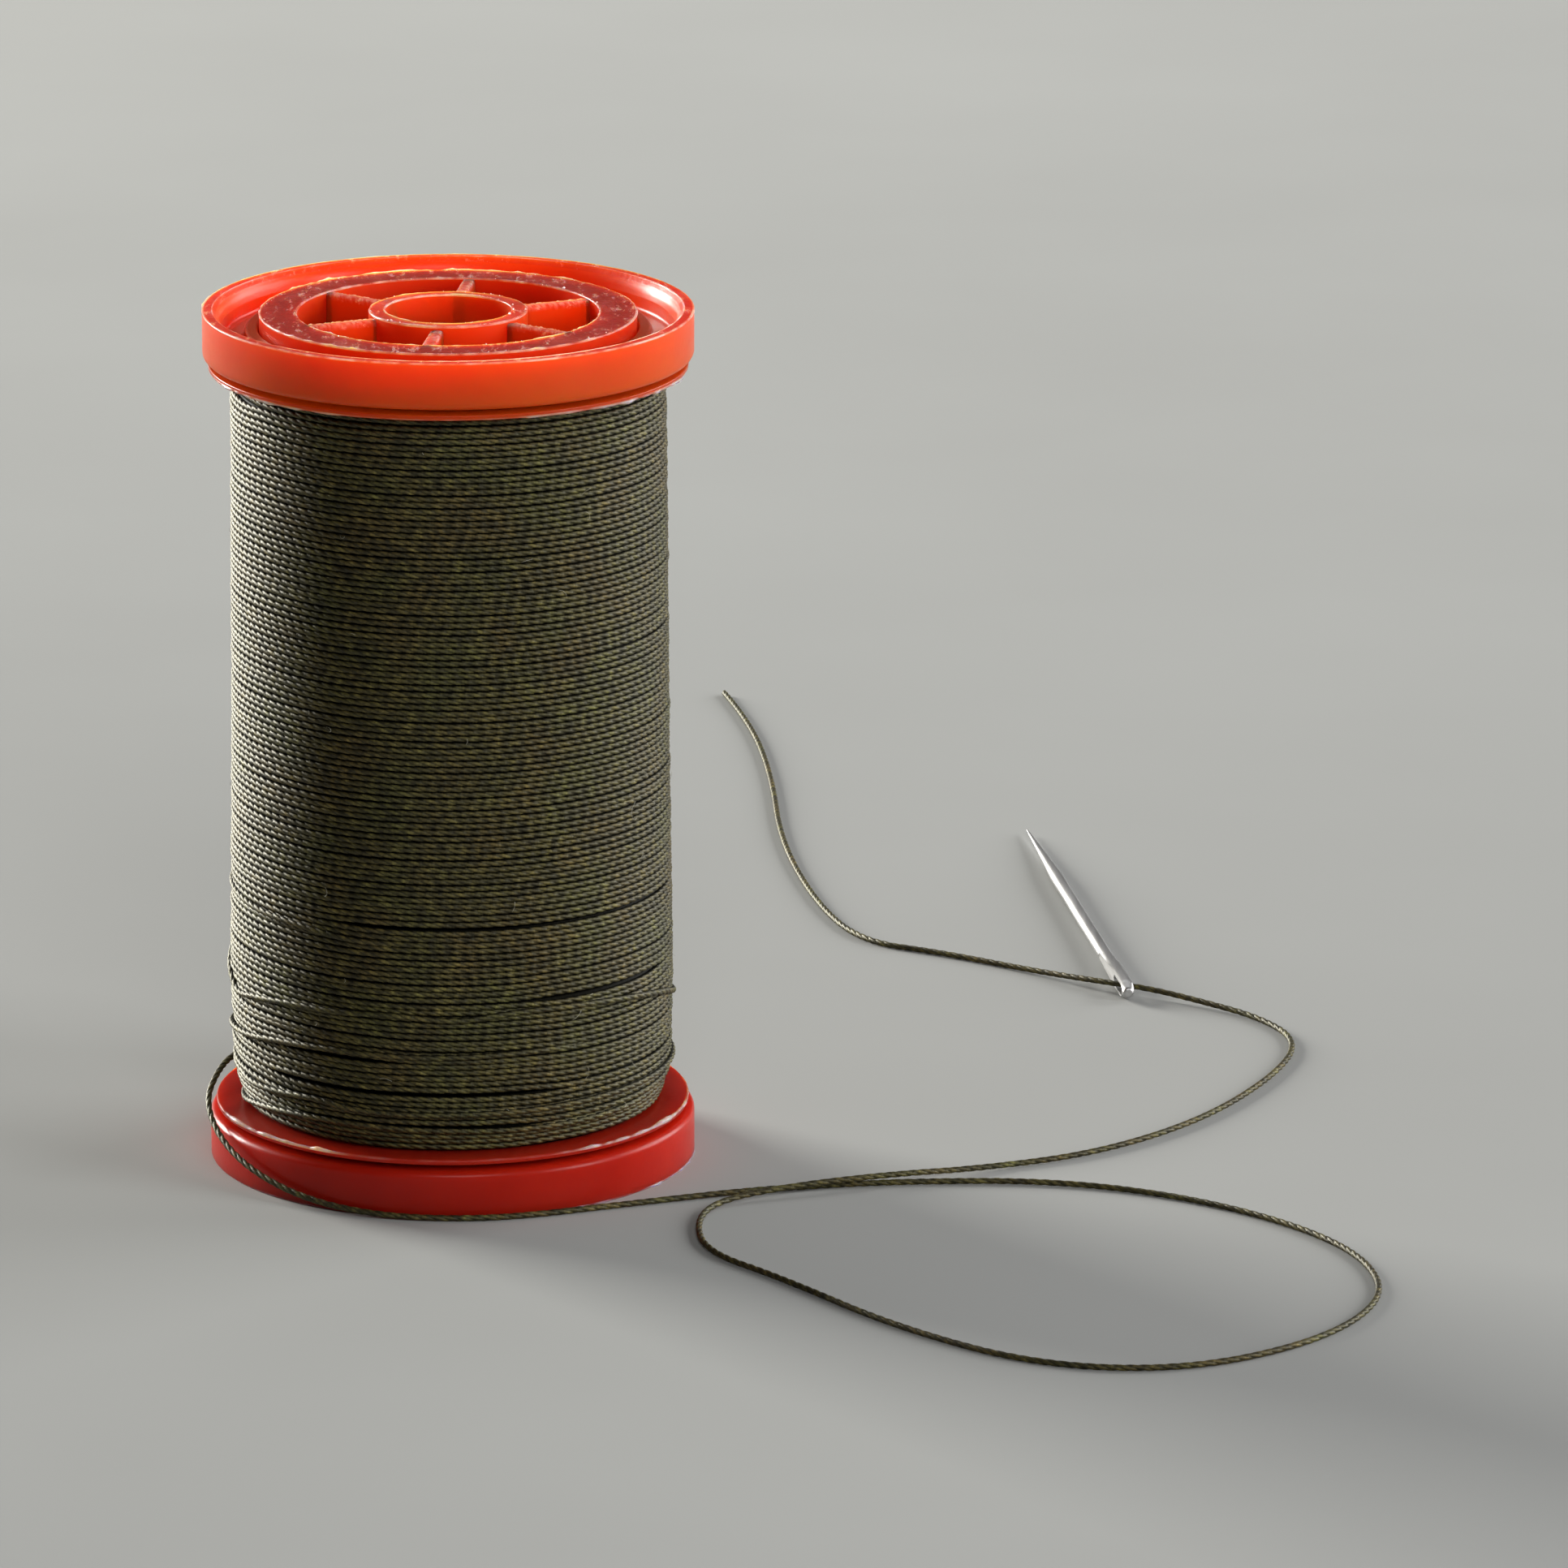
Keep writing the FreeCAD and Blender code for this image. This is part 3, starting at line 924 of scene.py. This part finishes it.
def lint_material():
    """Pale fluff of stray filaments."""
    material = new_material("pale_lint")
    cloud = noise(material, 2500, 2, 0.5)
    shade(material, {
        "Base Color": ramp(material, cloud, (0.35, (0.24, 0.22, 0.15)), (0.65, (0.62, 0.60, 0.50))),
        "Roughness": spread(material, cloud, 0.4, 0.7),
    })
    return material


def steel_material():
    """Satin nickel-plated needle with faint draw lines."""
    material = new_material("needle_steel")
    lines = noise(material, 1200, 3, 0.6, stretch=(1.0, 0.05, 1.0))
    shade(material, {
        "Base Color": ramp(material, lines, (0.3, (0.46, 0.455, 0.45)), (0.7, (0.60, 0.595, 0.59))),
        "Metallic": 1.0,
        "Roughness": spread(material, lines, 0.34, 0.5),
        "Normal": bumped(material, lines, 0.08, 0.02 * MM),
    })
    return material


def floor_material():
    """Pale grey matt table top."""
    material = new_material("pale_floor")
    cloud = noise(material, 9, 4, 0.55)
    greys = (0.3, (0.365, 0.368, 0.358)), (0.7, (0.395, 0.400, 0.390))
    shade(material, {
        "Base Color": ramp(material, cloud, *greys),
        "Roughness": 0.9,
        "Specular IOR Level": 0.0,
    })
    return material


def wear(piece, material):
    """Gives a piece its one material."""
    piece.data.materials.clear()
    piece.data.materials.append(material)


# ---------------------------------------------------------------- assembly

def add_tail(thread):
    """The free end, from the winding to the cut, through the needle's eye."""
    line = points_along_route()
    centres = evenly_spaced(line, LAY / RINGS_PER_LAY)
    outward = np.tile((0.0, 0.0, 1.0), (len(centres), 1))
    tail = ply_tube("tail", centres, outward, nested=False)
    add_piece(tail, thread, "spool", "thread", "thread_tail")


def add_winding(thread):
    """Ridged sleeve, the outer turns over it, the last loose turns and stray fibres."""
    # The sleeve has no lay marks, so this material paints it black with hardly any sheen: painted
    # shade for the layer seen through the gaps.
    below = thread_material("olive_thread_painted_shade", 0.06)
    add_piece(wind_inner_layers(), below, "spool", "thread", "winding_inner_layers")
    turns = wind_outer_layer()
    turns += [loose_turn(name, controls) for name, controls in CROSSING_TURNS.items()]
    turns.append(loose_turn("last_turn", LAST_TURN))
    for piece in turns:
        add_piece(piece, thread, "spool", "thread", "winding_outer_layer")
    add_piece(stray_fibres(), lint_material(), "spool", "thread")


def add_piece(piece, material, body, slot, *nodes):
    """Finishes a new piece: its material, its body and what it stands for; the slot is not used."""
    wear(piece, material)
    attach(piece, body)
    if nodes:
        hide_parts(*nodes)


def add_mouldings():
    """Caps, end flanges and hub with their flash, and materials for the nodes that stay."""
    # One red plastic in copies of different brightness: the top cap's brighter as painted light
    # through its rim, the foot's darker as painted shade on the bottom cap, bottom flange and
    # barrel.
    cap, foot, ring, hub = (plastic_material(*row) for row in PLASTICS)
    top_cap = moulding("top_cap", SNAP_CAP_MM, top=True)
    add_piece(top_cap, cap, "top_cap", "cap_plastic", "top_snap_cap")
    bottom_cap = moulding("bottom_cap", SNAP_CAP_MM, top=False)
    add_piece(bottom_cap, foot, "bottom_cap", "cap_plastic", "bottom_snap_cap")
    top_flange = moulding("top_flange", END_FLANGE_MM, top=True)
    add_piece(top_flange, ring, "spool", "flange_plastic", "top_end_flange")
    bottom_flange = moulding("bottom_flange", END_FLANGE_MM, top=False, stretches=BOTTOM_LIP_FLASH)
    add_piece(bottom_flange, foot, "spool", "flange_plastic", "bottom_end_flange")
    for piece in (moulding("hub_tube", HUB_TUBE_MM, top=True), hub_ribs()):
        add_piece(piece, hub, "spool", "hub_plastic", "hub_core")
    add_piece(trimming_crumbs(), chip_material(), "spool", "hub_plastic")
    wear(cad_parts["barrel_tube"], foot)
    wear(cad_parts["needle"], steel_material())


def add_floor():
    """The lit part of a table top, which ends where the lights fade."""
    square = ((-1, -1), (1, -1), (1, 1), (-1, 1))
    corners = [(x * FLOOR_REACH, y * FLOOR_REACH, 0) for x, y in square]
    floor = link_mesh("floor", corners, [(0, 1, 2, 3)], smooth=False)
    wear(floor, floor_material())


def add_light(name, position, target, width, height, power, colour=(1, 1, 1)):
    """Soft rectangular light that faces its target."""
    data = bpy.data.lights.new(name, "AREA")
    data.shape = "RECTANGLE"
    data.size = width
    data.size_y = height
    data.energy = power
    data.color = colour
    light = bpy.data.objects.new(name, data)
    light.location = position
    light.rotation_euler = (Vector(target) - Vector(position)).to_track_quat("-Z", "Y").to_euler()
    bpy.context.scene.collection.objects.link(light)


def add_lights():
    """Strong soft key from behind left, and weaker ones behind, at the right and in front."""
    middle = (0, 0, 0.5 * SPOOL_HEIGHT)
    add_light("key_back_left", (-0.83, 0.75, 0.28), middle, 0.40, 0.44, 27.7, (1.0, 0.98, 0.92))
    add_light("fill_right", (0.96, 0.46, 0.33), middle, 0.80, 0.54, 10.6)
    add_light("back_overhead", (0.0, 0.85, 0.95), (0.02, 0.0, 0), 1.0, 0.8, 2.5)
    add_light("front_right", (1.0, -0.47, 0.35), middle, 0.4, 0.5, 7.5)
    add_light("front_high", (0.15, -1.0, 0.70), middle, 0.5, 0.4, 3.7)
    add_world()


def add_world():
    """Pale backdrop for the camera, and only a little of it as light."""
    world = bpy.data.worlds.new("studio")
    world.use_nodes = True
    background = world.node_tree.nodes["Background"]
    background.inputs["Color"].default_value = (0.98, 1.0, 1.0, 1)
    seen = world.node_tree.nodes.new("ShaderNodeLightPath").outputs["Is Camera Ray"]
    strength = world.node_tree.nodes.new("ShaderNodeMapRange")
    strength.inputs["To Min"].default_value = WORLD_LIGHT
    strength.inputs["To Max"].default_value = WORLD_BACKDROP
    world.node_tree.links.new(seen, strength.inputs["Value"])
    world.node_tree.links.new(strength.outputs["Result"], background.inputs["Strength"])
    bpy.context.scene.world = world


bpy.context.scene.view_settings.view_transform = "Standard"
add_camera()
thread = thread_material("olive_thread", 0.55)
add_tail(thread)
add_winding(thread)
add_mouldings()
add_floor()
add_lights()
